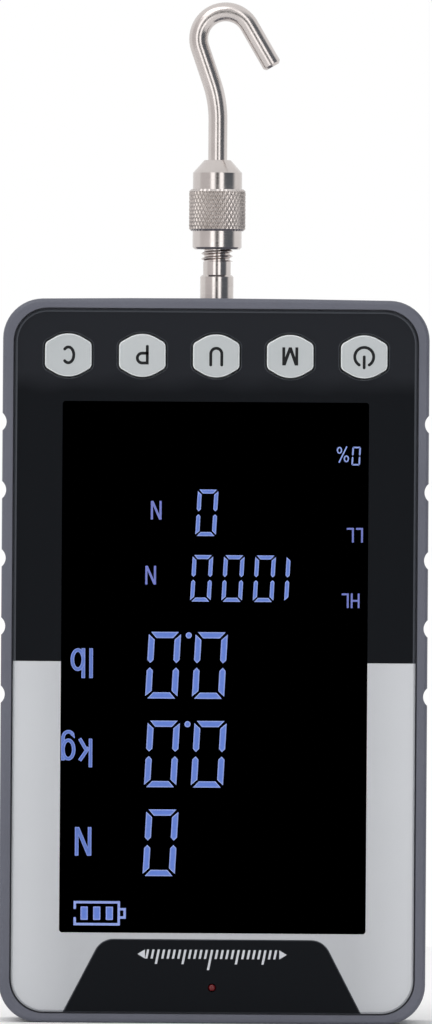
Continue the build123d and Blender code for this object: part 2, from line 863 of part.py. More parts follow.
with BuildPart() as battery_cradle:
    cradle_radius = battery_radius + fixed_gap
    cradle_width = 2 * (cradle_radius + cradle_side)
    cradle_depth = chassis_front - battery_y
    cradle_height = battery_length + 2 * cradle_end
    with BuildSketch(Plane.XY.offset(battery_bottom_z - cradle_end)):
        with Locations((battery_x, battery_y + cradle_depth / 2)):
            Rectangle(cradle_width, cradle_depth)
    extrude(amount=cradle_height)
    with BuildSketch(Plane.XY.offset(battery_bottom_z)):
        with Locations((battery_x, battery_y)):
            Circle(cradle_radius)
    extrude(amount=battery_length, mode=Mode.SUBTRACT)
    with BuildSketch(Plane.XY.offset(battery_bottom_z)):
        with Locations((battery_x, battery_y)):
            Circle(lead_radius + running_gap)
    extrude(amount=-cradle_end, mode=Mode.SUBTRACT)
save(battery_cradle, "battery_cradle")

battery_lead = lead(
    [
        (battery_x, battery_y, battery_bottom_z),
        (battery_x, battery_y, battery_plug[1]),
        (battery_x, connector_back, battery_plug[1]),
    ]
)
save(battery_lead, "battery_lead")

sensor_lead = lead(
    [
        (cell_width / 2, 0, sensor_plug[1]),
        (sensor_plug[0], 0, sensor_plug[1]),
        (sensor_plug[0], connector_back, sensor_plug[1]),
    ]
)
save(sensor_lead, "sensor_lead")


# ------------------------------------------------------------------ measuring shaft

with BuildPart() as shaft:
    with BuildSketch(Plane.XZ):
        with BuildLine():
            stud_bottom_z = cell_top_z - stud_depth
            Polyline(
                (0, stud_bottom_z),
                (stud_radius - stud_chamfer, stud_bottom_z),
                (stud_radius, stud_bottom_z + stud_chamfer),
                (stud_radius, locknut_top_z),
                (shaft_radius, locknut_top_z),
                (shaft_radius, shaft_top_z - shaft_chamfer),
                (shaft_radius - shaft_chamfer, shaft_top_z),
                (neck_radius, shaft_top_z),
                (neck_radius, thread_bottom_z),
                (thread_minor_radius, thread_bottom_z),
                (thread_minor_radius, thread_top_z + thread_end),
                (0, thread_top_z + thread_end),
                close=True,
            )
        make_face()
    revolve(axis=Axis.Z)
    add(
        thread_ridge(
            thread_minor_radius, thread_major_radius, thread_crest_half, thread_bottom_z, thread_top_z
        )
    )
save(shaft, "shaft")

with BuildPart() as shaft_locknut:
    with BuildSketch(Plane.XY.offset(cell_top_z)):
        RegularPolygon(locknut_across_corners / 2, 6)
        Circle(stud_radius + fixed_gap, mode=Mode.SUBTRACT)
    extrude(amount=locknut_height)
save(shaft_locknut, "shaft_locknut")

bush_top_z = case_height - bush_below_top
seal_top_z = bush_top_z + shaft_seal_height

with BuildPart() as guide_bush:
    flange_top_z = wall_below_top_z - fixed_gap
    with BuildSketch(Plane.XY.offset(flange_top_z - bush_flange_height)):
        Circle(bush_flange_radius)
    extrude(amount=bush_flange_height)
    with BuildSketch(Plane.XY.offset(flange_top_z)):
        Circle(bush_radius)
    extrude(amount=bush_top_z - flange_top_z)
    with BuildSketch(Plane.XY.offset(bush_top_z)):
        Circle(shaft_radius + running_gap)
    extrude(amount=flange_top_z - bush_flange_height - bush_top_z, mode=Mode.SUBTRACT)
save(guide_bush, "guide_bush")

shaft_seal = ring(shaft_radius + running_gap, bush_radius, bush_top_z, seal_top_z)
save(shaft_seal, "shaft_seal")


# ------------------------------------------------------------------ screw-on coupling

tap_minor = thread_minor_radius + thread_radial_gap
tap_major = thread_major_radius + thread_radial_gap
tap_crest_half = thread_crest_half + thread_axial_gap
tap_top_z = thread_bottom_z + thread_pitch * ceil((spigot_top_z - thread_bottom_z) / thread_pitch + 1)

with BuildPart() as tap:
    with BuildSketch(Plane.XY.offset(thread_bottom_z - thread_pitch)):
        Circle(tap_minor)
    extrude(amount=tap_top_z - thread_bottom_z + 2 * thread_pitch)
    add(thread_ridge(tap_minor, tap_major, tap_crest_half, thread_bottom_z, tap_top_z))

with BuildPart() as coupling_nut:
    with BuildSketch(Plane.XY.offset(coupling_bottom_z)):
        Circle(collar_radius)
    extrude(amount=nut_height)
    chamfer(coupling_nut.faces().sort_by(Axis.Z)[0].edges(), nut_chamfer)
    with BuildSketch(Plane.XY.offset(nut_top_z)):
        Circle(spigot_radius)
    extrude(amount=spigot_height)
    chamfer(coupling_nut.faces().sort_by(Axis.Z)[-1].edges(), spigot_chamfer)
    add(tap.part, mode=Mode.SUBTRACT)
save(coupling_nut, "coupling_nut")

with BuildPart() as knurled_sleeve:
    with BuildSketch(Plane.XZ):
        with BuildLine():
            bore = spigot_radius + fixed_gap
            swivel_bore = wire_radius + drop_in_gap
            Polyline(
                (bore, nut_top_z),
                (knurl_radius - knurl_chamfer, nut_top_z),
                (knurl_radius, nut_top_z + knurl_chamfer),
                (knurl_radius, knurl_top_z - knurl_chamfer),
                (knurl_radius - knurl_chamfer, knurl_top_z),
                (collar_radius, knurl_top_z),
                (collar_radius, cone_bottom_z),
                (cone_top_radius, cone_top_z),
                (swivel_bore, cone_top_z),
                (swivel_bore, shoulder_z),
                (bore, shoulder_z),
                close=True,
            )
        make_face()
    revolve(axis=Axis.Z)
save(knurled_sleeve, "knurled_sleeve")

swivel_washer = ring(wire_radius + drop_in_gap / 2, washer_radius, washer_bottom_z, washer_top_z)
save(swivel_washer, "swivel_washer")

hook_collar = ring(wire_radius + fixed_gap, hook_collar_radius, hook_collar_bottom_z, hook_collar_top_z)
save(hook_collar, "hook_collar")


# ------------------------------------------------------------------ hook

with BuildPart() as hook:
    with BuildLine(Plane.XZ) as wire_line:
        shank = Line((0, wire_bottom_z), (0, case_height + kink_above))
        kink = JernArc(shank @ 1, shank % 1, kink_radius, hook_lean)
        run = PolarLine(kink @ 1, hook_run, direction=kink % 1)
        bend = JernArc(run @ 1, run % 1, hook_bend_radius, limb_lean - hook_lean - 180)
        PolarLine(bend @ 1, limb_length, direction=bend % 1)
    with BuildSketch(Plane.XY.offset(wire_bottom_z)):
        Circle(wire_radius)
    sweep(path=wire_line.wire())
    tip = hook.faces().filter_by(GeomType.PLANE).sort_by(Axis.Z)[-1]
    chamfer(tip.edges(), tip_chamfer)
save(hook, "hook")
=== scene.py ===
import json
from math import cos, pi, radians, sin, tan

import bmesh
import bpy
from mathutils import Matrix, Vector

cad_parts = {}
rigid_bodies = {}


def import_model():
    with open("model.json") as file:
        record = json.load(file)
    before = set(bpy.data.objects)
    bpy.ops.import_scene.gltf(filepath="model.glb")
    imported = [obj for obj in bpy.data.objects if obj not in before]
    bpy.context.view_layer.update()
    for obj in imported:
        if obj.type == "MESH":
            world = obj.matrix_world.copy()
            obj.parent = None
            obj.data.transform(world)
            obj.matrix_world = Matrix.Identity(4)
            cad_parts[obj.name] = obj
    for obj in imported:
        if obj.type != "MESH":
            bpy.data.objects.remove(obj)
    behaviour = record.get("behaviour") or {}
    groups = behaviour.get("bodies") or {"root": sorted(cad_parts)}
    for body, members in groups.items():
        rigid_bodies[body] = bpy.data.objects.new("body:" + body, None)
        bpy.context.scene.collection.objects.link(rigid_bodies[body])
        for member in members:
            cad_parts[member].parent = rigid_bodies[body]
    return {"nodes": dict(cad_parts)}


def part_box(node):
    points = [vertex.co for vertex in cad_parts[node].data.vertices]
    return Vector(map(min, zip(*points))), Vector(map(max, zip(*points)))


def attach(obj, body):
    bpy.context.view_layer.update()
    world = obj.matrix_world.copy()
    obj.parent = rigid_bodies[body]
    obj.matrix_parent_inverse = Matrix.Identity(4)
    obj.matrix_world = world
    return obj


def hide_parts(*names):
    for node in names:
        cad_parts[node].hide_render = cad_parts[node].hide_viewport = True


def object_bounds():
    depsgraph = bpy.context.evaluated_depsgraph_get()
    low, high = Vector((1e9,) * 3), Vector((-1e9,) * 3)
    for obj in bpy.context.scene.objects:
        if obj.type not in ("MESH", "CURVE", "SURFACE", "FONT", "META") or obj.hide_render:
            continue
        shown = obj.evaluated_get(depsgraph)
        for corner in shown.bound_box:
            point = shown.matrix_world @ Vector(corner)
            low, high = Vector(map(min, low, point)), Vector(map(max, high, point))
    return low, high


for leftover in list(bpy.data.objects):
    bpy.data.objects.remove(leftover)

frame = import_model()
cad_low, cad_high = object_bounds()
cad_nodes = frame["nodes"]

# Handheld digital force gauge. Lengths are in millimetres and become metres where a mesh is made.
# +Z is up along the measuring axis, and the display faces -Y.
MM = 0.001

# ------------------------------------------------------------------ camera

VIEW_DISTANCE = 3424.0  # a long lens from far away, so that the sides hardly converge
VIEW_HEIGHT = 192.0  # what the picture's long side takes in at the front of the gauge
VIEW_CENTRE_X = 0.15
VIEW_CENTRE_Z = 95.93
VIEW_ROLL = -0.4  # degrees; the gauge leans a little to the right
SENSOR_SIZE = 36.0
VIEW_END = 100.0  # metres; well past the floor's far edge


def aim_camera():
    """Straight at the display, from as far as a telephoto lens would stand."""
    gauge_front = cad_low.y / MM
    camera = bpy.data.objects.new("front_camera", bpy.data.cameras.new("front_camera"))
    camera.data.sensor_width = SENSOR_SIZE
    camera.data.lens = SENSOR_SIZE * VIEW_DISTANCE / VIEW_HEIGHT
    camera.data.clip_end = VIEW_END
    camera.location = Vector((VIEW_CENTRE_X, gauge_front - VIEW_DISTANCE, VIEW_CENTRE_Z)) * MM
    camera.rotation_mode = "XYZ"
    camera.rotation_euler = (radians(90), radians(VIEW_ROLL), 0)
    bpy.context.scene.collection.objects.link(camera)
    bpy.context.scene.camera = camera


# ------------------------------------------------------------------ nodes and colours


def linear(srgb_hex):
    """The linear colour that an sRGB hex value such as "#8090A0" stands for."""
    channels = [int(srgb_hex[i:i + 2], 16) / 255 for i in (1, 3, 5)]
    return tuple(c / 12.92 if c <= 0.04045 else ((c + 0.055) / 1.055) ** 2.4 for c in channels) + (1.0,)


def add_node(tree, kind, settings=None, links=None):
    """Adds one node: settings holds its properties and plain sockets, links the sockets that a node
    (by its first output) or another node's socket feeds."""
    node = tree.nodes.new(kind)
    for name, value in (settings or {}).items():
        if isinstance(name, int) or name in node.inputs:
            node.inputs[name].default_value = value
        else:
            setattr(node, name, value)
    for name, source in (links or {}).items():
        socket = source.outputs[0] if hasattr(source, "outputs") else source
        tree.links.new(socket, node.inputs[name])
    return node


def per_metre(size):
    """Scale of a texture whose features are as many millimetres across as size says."""
    return 1 / (size * MM)


def start_finish(name):
    """An empty material, its node tree, and the piece's own coordinates, which move with it."""
    finish = bpy.data.materials.new(name)
    finish.use_nodes = True
    tree = finish.node_tree
    tree.nodes.clear()
    return finish, tree, add_node(tree, "ShaderNodeTexCoord").outputs["Object"]


SOFT_SWING = {"From Min": 0.3, "From Max": 0.7}  # a noise texture's usual low and high
NOISE_DETAIL = 3.0
GRAIN_ROUGHNESS = 0.55
RINGS = (0.04, 0.04, 1.0)  # drawn out round the axis: what a lathe tool leaves
LENGTHS = (1.0, 1.0, 0.05)  # drawn out up the part: what a rolling or grinding belt leaves
EVEN = (1.0, 1.0, 1.0)
# The bevels that get a painted highlight: their normal's Y, and how far it may stray
BEVEL_FACING = -0.7  # how far a front bevel's normal points along Y, towards the front
BEVEL_SPREAD = 0.25


def painted_bevel_highlights(tree, tone, edge):
    """The tone, turned into a painted highlight on the bevels round a part's front."""
    normal = add_node(tree, "ShaderNodeTexCoord").outputs["Normal"]
    facing = add_node(tree, "ShaderNodeSeparateXYZ", links={"Vector": normal}).outputs["Y"]
    leaning = {"operation": "COMPARE", 1: BEVEL_FACING, 2: BEVEL_SPREAD}
    is_bevel = add_node(tree, "ShaderNodeMath", leaning, {0: facing})
    return add_node(tree, "ShaderNodeMixRGB", {"Color2": linear(edge)}, {"Fac": is_bevel, "Color1": tone})


def close_finish(tree, place, share, tones, marks, roughness, settings, drawn_out=EVEN, edge=None):
    """Ends a material: two tones mixed by share, a painted highlight tone for its bevels if there is one,
    and fine marks, (size, height) in millimetres, that swing the roughness between two values and raise the
    surface."""
    first, second = tones
    size, height = marks
    mixed = {"Color1": linear(first), "Color2": linear(second)}
    tone = add_node(tree, "ShaderNodeMixRGB", mixed, {"Fac": share})
    # edge is the tone of the painted highlight on the bevels
    if edge:
        tone = painted_bevel_highlights(tree, tone, edge)
    drawn = add_node(tree, "ShaderNodeMapping", {"Scale": drawn_out}, {"Vector": place})
    texture = {"Scale": per_metre(size), "Detail": NOISE_DETAIL, "Roughness": GRAIN_ROUGHNESS}
    grain = add_node(tree, "ShaderNodeTexNoise", texture, {"Vector": drawn})
    swing = {**SOFT_SWING, "To Min": roughness[0], "To Max": roughness[1]}
    gloss = add_node(tree, "ShaderNodeMapRange", swing, {"Value": grain})
    relief = add_node(tree, "ShaderNodeBump", {"Distance": height * MM}, {"Height": grain})
    links = {"Base Color": tone, "Roughness": gloss, "Normal": relief}
    shader = add_node(tree, "ShaderNodeBsdfPrincipled", settings, links)
    add_node(tree, "ShaderNodeOutputMaterial", links={"Surface": shader})


# ------------------------------------------------------------------ finishes

FLOW_CLOUD = 14.0  # the sizes of three faint patterns
METAL_STAIN = 6.0
LCD_CELL = 0.5
ABS_IOR = 1.54
PLASTIC_SWING = 0.06  # how far the roughness swings each way over a moulded surface
METAL_SWING = (0.05, 0.07)  # and, less towards gloss than towards dull, over a machined one


def moulded_plastic(name, tones, roughness, marks, specular=0.5, ior=ABS_IOR, edge=None):
    """Injection-moulded plastic: a fine spark-eroded grain, with faint clouds where it flowed, and, where
    edge is given, a painted highlight on its bevels.
    """
    finish, tree, place = start_finish(name)
    clouds = add_node(tree, "ShaderNodeTexNoise", {"Scale": per_metre(FLOW_CLOUD)}, {"Vector": place})
    share = add_node(tree, "ShaderNodeMapRange", SOFT_SWING, {"Value": clouds})
    settings = {"IOR": ior, "Specular IOR Level": specular}
    spread = (roughness - PLASTIC_SWING, roughness + PLASTIC_SWING)
    close_finish(tree, place, share, tones, marks, spread, settings, edge=edge)
    return finish


def machined_metal(name, tones, roughness, marks, drawn_out):
    """Bare metal with the fine lines that its tool left, drawn out along some axes, and faint stains."""
    finish, tree, place = start_finish(name)
    texture = {"Scale": per_metre(METAL_STAIN), "Detail": NOISE_DETAIL}
    stains = add_node(tree, "ShaderNodeTexNoise", texture, {"Vector": place})
    share = add_node(tree, "ShaderNodeMapRange", SOFT_SWING, {"Value": stains})
    spread = (roughness - METAL_SWING[0], roughness + METAL_SWING[1])
    close_finish(tree, place, share, tones, marks, spread, {"Metallic": 1.0}, drawn_out)
    return finish


PAINTED_TOP_SHEEN_FOOT = 119.5  # between these two heights a painted sheen turns the panel's black paler
PAINTED_TOP_SHEEN_HEAD = 123.0
PAINTED_TOP_SHEEN_BLOTCH = 9.0
PAINTED_TOP_SHEEN_WANDER = 2.5  # how far the turn shifts up and down


def panel_with_painted_sheen():
    """ABS, fine-textured mould: near black and satin, with a painted sheen that makes it paler at the top.
    """
    finish, tree, place = start_finish("black_abs")
    blotches = add_node(tree, "ShaderNodeTexNoise", {"Scale": per_metre(PAINTED_TOP_SHEEN_BLOTCH)}, {"Vector": place})
    height = add_node(tree, "ShaderNodeSeparateXYZ", links={"Vector": place}).outputs["Z"]
    wander = {"operation": "MULTIPLY_ADD", 1: PAINTED_TOP_SHEEN_WANDER * MM}
    edge = add_node(tree, "ShaderNodeMath", wander, {0: blotches, 2: height})
    reach = {"From Min": PAINTED_TOP_SHEEN_FOOT * MM, "From Max": PAINTED_TOP_SHEEN_HEAD * MM}
    share = add_node(tree, "ShaderNodeMapRange", reach, {"Value": edge})
    settings = {"IOR": ABS_IOR, "Specular IOR Level": 0.08}
    # near black, and the paler black of the painted sheen at the top
    tones = ("#0A0D12", "#1F2126")
    # the last tone is the painted highlight on the bevels
    close_finish(tree, place, share, tones, (0.4, 0.006), (0.38, 0.46), settings, edge="#505359")
    return finish


PAINTED_SHEEN_START = 27.5  # how far from the middle the painted sheen begins to brighten the lacquer, and where it's brightest
PAINTED_SHEEN_END = 37.5
PAINTED_SHEEN_WANDER = 2.0


def lacquered_overlay():
    """ABS with silver lacquer, sprayed, with a painted sheen that makes it brighter towards the sides."""
    finish, tree, place = start_finish("silver_lacquer")
    clouds = add_node(tree, "ShaderNodeTexNoise", {"Scale": per_metre(FLOW_CLOUD)}, {"Vector": place})
    across = add_node(tree, "ShaderNodeSeparateXYZ", links={"Vector": place}).outputs["X"]
    from_middle = add_node(tree, "ShaderNodeMath", {"operation": "ABSOLUTE"}, {0: across})
    wander = {"operation": "MULTIPLY_ADD", 1: PAINTED_SHEEN_WANDER * MM}
    side = add_node(tree, "ShaderNodeMath", wander, {0: clouds, 2: from_middle})
    reach = {"From Min": PAINTED_SHEEN_START * MM, "From Max": PAINTED_SHEEN_END * MM}
    share = add_node(tree, "ShaderNodeMapRange", reach, {"Value": side})
    settings = {"IOR": ABS_IOR, "Specular IOR Level": 0.4}
    # the silver, and the brighter silver of the painted sheen at the sides
    tones = ("#B4B6BA", "#C8CACE")
    # the last tone is the painted highlight on the bevels
    close_finish(tree, place, share, tones, (0.3, 0.004), (0.44, 0.56), settings, edge="#DCDFE2")
    return finish


WINDOW_TINT = "#4A4C50"
WINDOW_DULLEST = 0.015  # the window's roughness where it is least polished


def smoked_window():
    """Acrylic (PMMA) window, cast, tinted grey and coated against reflections: dark, with a faint shine."""
    finish, tree, place = start_finish("smoked_acrylic")
    haze = add_node(tree, "ShaderNodeTexNoise", {"Scale": per_metre(FLOW_CLOUD)}, {"Vector": place})
    gloss = add_node(tree, "ShaderNodeMapRange", {**SOFT_SWING, "To Max": WINDOW_DULLEST}, {"Value": haze})
    settings = {"Base Color": linear(WINDOW_TINT), "IOR": 1.49, "Transmission Weight": 1.0}
    shader = add_node(tree, "ShaderNodeBsdfPrincipled", settings, {"Roughness": gloss})
    add_node(tree, "ShaderNodeOutputMaterial", links={"Surface": shader})
    return finish


LCD_LIGHT = 4.0  # makes up for what the smoked window takes


def lit_ink(name, first, second):
    """Liquid-crystal figure with the backlight behind it: flat, even light over a fine cell pattern."""
    finish, tree, place = start_finish(name)
    cells = add_node(tree, "ShaderNodeTexNoise", {"Scale": per_metre(LCD_CELL)}, {"Vector": place})
    share = add_node(tree, "ShaderNodeMapRange", SOFT_SWING, {"Value": cells})
    mixed = {"Color1": linear(first), "Color2": linear(second)}
    tone = add_node(tree, "ShaderNodeMixRGB", mixed, {"Fac": share})
    settings = {"Base Color": linear("#050508"), "Roughness": 0.6, "Emission Strength": LCD_LIGHT}
    shader = add_node(tree, "ShaderNodeBsdfPrincipled", settings, {"Emission Color": tone})
    add_node(tree, "ShaderNodeOutputMaterial", links={"Surface": shader})
    return finish


def make_finishes():
    """One material for each of the record's slots, and a few for the pieces made here."""
    return {
        # ABS, spark-eroded mould: slate blue-grey, silky, 0.25 mm grain drawn at 0.5 mm so that it shows
        "case_plastic": moulded_plastic("slate_abs", ("#555763", "#5B5D69"), 0.46, (0.5, 0.012)),
        # ABS, fine-textured mould, near black, with a painted sheen at the top and painted highlights on its
        # bevels
        "panel_plastic": panel_with_painted_sheen(),
        # ABS under silver lacquer, with a painted sheen towards the sides and painted highlights on its
        # bevels
        "silver_trim": lacquered_overlay(),
        # ABS, polished mould and then lightly blasted: light cool grey, with a painted highlight on its
        # bevels
        "key_plastic": moulded_plastic(
            "grey_key_abs", ("#AFB4B6", "#B8BCBE"), 0.42, (0.35, 0.006), edge="#E0E4E5"),
        # silicone rubber, pressed: dull black
        "seal_rubber": moulded_plastic("black_silicone", ("#17181A", "#1E1F21"), 0.7, (0.6, 0.01), ior=1.41),
        # polyester film, matt: the plain silver plate on the back
        "rating_plate": moulded_plastic("matt_film", ("#A9ACB0", "#B2B5B8"), 0.38, (0.3, 0.003), ior=1.6),
        # nylon, moulded: dull black inner parts
        "inner_plastic": moulded_plastic("black_nylon", ("#202124", "#292A2D"), 0.55, (0.5, 0.01), ior=1.53),
        # polycarbonate, frosted: milky white
        "light_guide": moulded_plastic(
            "frosted_polycarbonate", ("#E2E4E6", "#ECEDEF"), 0.4, (0.4, 0.004), ior=1.58),
        # glass cell with a black polariser: no colour of its own
        "display_glass": moulded_plastic(
            "black_polariser", ("#020203", "#040405"), 0.25, (0.4, 0.001), specular=0.1, ior=1.52),
        # glass fibre in epoxy under green lacquer
        "board_laminate": moulded_plastic(
            "board_lacquer", ("#1C4A2E", "#235837"), 0.35, (0.8, 0.006), ior=1.5),
        # soft vinyl: the two leads' red sheath
        "lead_cover": moulded_plastic("red_vinyl", ("#7C1F1C", "#8C2824"), 0.45, (0.5, 0.004)),
        # shrunk vinyl sleeve: blue and shiny
        "battery_sleeve": moulded_plastic("blue_vinyl", ("#1F4C86", "#275797"), 0.28, (2.0, 0.01)),
        # polycarbonate light pipe, clear red
        "indicator": moulded_plastic(
            "red_polycarbonate", ("#5C0F14", "#6C141A"), 0.12, (0.3, 0.001), specular=0.35, ior=1.58),
        # pad-printed epoxy ink
        "legend_ink": moulded_plastic("black_ink", ("#0A0C0E", "#101214"), 0.5, (0.3, 0.002), specular=0.2),
        "plate_ink": moulded_plastic("silver_ink", ("#C2C4CA", "#CED0D6"), 0.45, (0.3, 0.002)),
        # steel, zinc plated: bluish and bright
        "plated_steel": machined_metal("zinc_plate", ("#A9ADB3", "#B6BAC0"), 0.28, (0.3, 0.002), EVEN),
        # steel sheet, cold rolled and zinc plated
        "chassis_steel": machined_metal("rolled_steel", ("#9A9DA2", "#A6A9AE"), 0.34, (0.3, 0.003), LENGTHS),
        # aluminium, milled
        "cell_aluminium": machined_metal(
            "milled_aluminium", ("#C3C5C8", "#CCCED1"), 0.3, (0.25, 0.003), LENGTHS),
        # copper foil under amber varnish
        "gauge_foil": machined_metal("varnished_foil", ("#B06A35", "#BC7640"), 0.35, (0.3, 0.002), EVEN),
        # brass, turned
        "brass": machined_metal("turned_brass", ("#C8A35A", "#D2AE66"), 0.28, (0.2, 0.002), RINGS),
        # stainless steel, turned and polished: a warm grey, with fine rings
        "stainless": machined_metal("turned_stainless", ("#C4BDBA", "#CEC7C4"), 0.17, (0.22, 0.0012), RINGS),
        # stainless steel, knurled: rolled crests, with the grooves still dull from the tool
        "knurled_stainless": machined_metal(
            "knurled_stainless", ("#B3ABA6", "#C4BCB8"), 0.36, (0.25, 0.004), EVEN),
        # stainless wire, drawn, bent and tumbled: soft gloss
        "hook_wire": machined_metal("drawn_stainless", ("#C6BFBC", "#D0C9C6"), 0.2, (0.35, 0.0012), EVEN),
        "window": smoked_window(),
        "figure_core": lit_ink("lit_blue", "#617AC1", "#6680C7"),
        "figure_edge": lit_ink("lit_pale_blue", "#8998D0", "#91A0D6"),
        "unit_core": lit_ink("lit_deep_blue", "#5A71B2", "#5F76B8"),
        "unit_edge": lit_ink("lit_mid_blue", "#7A8AC6", "#8190CC"),
        "sign_ink": lit_ink("lit_lilac", "#7078B6", "#787FBC"),
    }


# The finish of each node whose own material slot has another one
OWN_FINISH = {"hook": "hook_wire", "hook_collar": "hook_wire", "light_pipe": "indicator"}


def dress_cad_nodes(finishes):
    """Every CAD node keeps its mesh and gets the finish of its slot, or one of its own."""
    for name, node in cad_nodes.items():
        slot_name = node.data.materials[0].name.split(".")[0]
        node.data.materials[0] = finishes[OWN_FINISH.get(name, slot_name)]


# ------------------------------------------------------------------ flat shapes


def arc(centre, radius, start, end, steps=20):
    """Points on a circle from one angle to another, in degrees, anticlockwise from the right."""
    return oval(centre, radius, radius, start, end, steps)


def oval(centre, across, up, start, end, steps=32):
    """Points on an upright ellipse from one angle to another, as on a circle."""
    angles = [radians(start + (end - start) * i / steps) for i in range(steps + 1)]
    return [(centre[0] + across * cos(a), centre[1] + up * sin(a)) for a in angles]


SHARPEST_MITRE = 0.4  # a turn sharper than this is cut blunt
END_STEPS = (22.5, 45, 67.5, 84)  # degrees round a stroke's rounded end


def side_step(before, here, after):
    """Unit step to the left of a path at one point, lengthened where the path turns."""
    first = Vector((here[0] - before[0], here[1] - before[1]))
    second = Vector((after[0] - here[0], after[1] - here[1]))
    if first.length == 0:
        first = second
    if second.length == 0:
        second = first
    first.normalize()
    second.normalize()
    left = Vector((-first.y - second.y, first.x + second.x))
    left.normalize()
    return left / max(SHARPEST_MITRE, left.dot(Vector((-first.y, first.x))))


def stroke(path, width, edge=0.0, closed=False, round_ends=False):
    """Faces of a pen stroke along a path: (points, is_edge) with an edge band of its own tone."""
    half = width / 2
    points = list(path)
    halves = [half] * len(points)
    if not closed:
        points, halves = with_ends(points, half, edge, round_ends)
    count = len(points)
    spread = (1, 1 - edge / half, edge / half - 1, -1) if edge else (1, -1)
    rows = []
    for i, here in enumerate(points):
        before = points[i - 1] if i or closed else here
        after = points[(i + 1) % count] if i + 1 < count or closed else here
        left = side_step(before, here, after) * halves[i]
        rows.append([(here[0] + left.x * s, here[1] + left.y * s) for s in spread])
    faces = []
    for i in range(count if closed else count - 1):
        near, far = rows[i], rows[(i + 1) % count]
        at_end = edge and not closed and i in (0, count - 2)
        for lane in range(len(near) - 1):
            is_edge = bool(edge) and (lane != 1 or at_end)  # of three lanes, 1 is the middle one
            faces.append(([near[lane], near[lane + 1], far[lane + 1], far[lane]], is_edge))
    return faces


def with_ends(points, half, edge, round_ends):
    """The path with its last stretch split off as an edge, or drawn out into two round ends."""
    halves = [half] * len(points)
    for at_start in (True, False):
        tip, inner = (points[0], points[1]) if at_start else (points[-1], points[-2])
        out = Vector((tip[0] - inner[0], tip[1] - inner[1])).normalized()
        if round_ends:
            angles = [radians(a) for a in END_STEPS]
            more = [(tip[0] + out.x * half * sin(a), tip[1] + out.y * half * sin(a)) for a in angles]
            thin = [half * cos(a) for a in angles]
        elif edge:
            more = [tip]
            thin = [half]
            split = (tip[0] - out.x * edge, tip[1] - out.y * edge)
            points = [split] + points[1:] if at_start else points[:-1] + [split]
        else:
            continue
        points = more[::-1] + points if at_start else points + more
        halves = thin[::-1] + halves if at_start else halves + thin
    return points, halves


def patch(outline, edge=0.0):
    """Faces of a filled anticlockwise outline, with an edge band of its own tone."""
    if not edge:
        return [(outline, False)]
    count = len(outline)
    inner = []
    for i, here in enumerate(outline):
        step = side_step(outline[i - 1], here, outline[(i + 1) % count]) * edge
        inner.append((here[0] + step.x, here[1] + step.y))
    band = []
    for i in range(count):
        j = (i + 1) % count
        band.append(([outline[i], outline[j], inner[j], inner[i]], True))
    return band + [(inner, False)]


def mirrored(outline):
    """The outline's mirror image, left for right, still anticlockwise."""
    return [(-x, z) for x, z in outline[::-1]]


def turned_over(outline):
    """The outline turned half round on the page."""
    return [(-x, -z) for x, z in outline]


def all_edge(faces):
    """The same flat faces, all in the tone of the edge."""
    return [(outline, True) for outline, is_edge in faces]


def moved(faces, x, z, lean=0.0):
    """Flat faces leaned over and moved to their place."""
    return [([(x + p[0] + lean * p[1], z + p[1]) for p in outline], is_edge) for outline, is_edge in faces]


WELD = 0.0005  # corners closer than this become one
INK_SINK = 0.005  # printed ink's foot lies this deep, so that no slit shows under it
INK_THICKNESS = 0.02


def printed_piece(name, faces, depth, body, inks):
    """A thin printed or lit layer, read upside down: flat faces laid at a depth and raised to the front."""
    mesh = bpy.data.meshes.new(name)
    work = bmesh.new()
    for outline, is_edge in faces:
        corners = [work.verts.new(Vector((-x, depth, -z)) * MM) for x, z in outline]
        work.faces.new(corners).material_index = 1 if is_edge and len(inks) > 1 else 0
    bmesh.ops.remove_doubles(work, verts=work.verts, dist=WELD * MM)
    raised_faces = bmesh.ops.extrude_face_region(work, geom=work.faces[:], use_keep_orig=True)
    tops = [v for v in raised_faces["geom"] if isinstance(v, bmesh.types.BMVert)]
    bmesh.ops.translate(work, verts=tops, vec=Vector((0, -INK_THICKNESS, 0)) * MM)
    bmesh.ops.recalc_face_normals(work, faces=work.faces[:])
    work.to_mesh(mesh)
    work.free()
    for ink in inks:
        mesh.materials.append(ink)
    piece = bpy.data.objects.new(name, mesh)
    bpy.context.scene.collection.objects.link(piece)
    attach(piece, body)


def middle_of(node):
    """Middle of a CAD node in X and Z, in millimetres."""
    low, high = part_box(node)
    return (low.x + high.x) / 2 / MM, (low.z + high.z) / 2 / MM


# ------------------------------------------------------------------ letters and numerals

# Proportions are shares of the letter's height or of its half width.
LOWER_CASE = 0.765  # height of a small letter's body
SLANT_SHARE = 1.15  # how much wider a diagonal is than the pen, measured level
P_BOWL = 0.27  # radius of the bowl of P
K_ARM, K_LEG = 0.4, 0.55  # heights on the body where the arm and the leg of k begin
K_LEG_START = 0.3  # and how far left of the middle the leg does
G_TAIL_SWEEP = -150  # degrees of the tail of g
C_MOUTH = 48  # degrees from the level to each tip of C
POWER_GAP = 32  # degrees from the top to each end of the power sign's ring
POWER_STEPS = 40
CENT_LEAN = 0.7  # how far the bar of % leans to each side
CENT_RING_PLACE = (0.62, 0.24)  # of the rings of %, from the middle and from the ends
CENT_RING_SIZE = (0.36, 0.17)  # half its width and half its height
LETTER_WIDTH = {"N": 0.575, "H": 0.6, "L": 0.48, "M": 0.88, "U": 0.77, "C": 0.74, "P": 0.71, "l": 0.12,
                "b": 0.49, "k": 0.5, "g": 0.5, "%": 0.77, "power": 1.0}


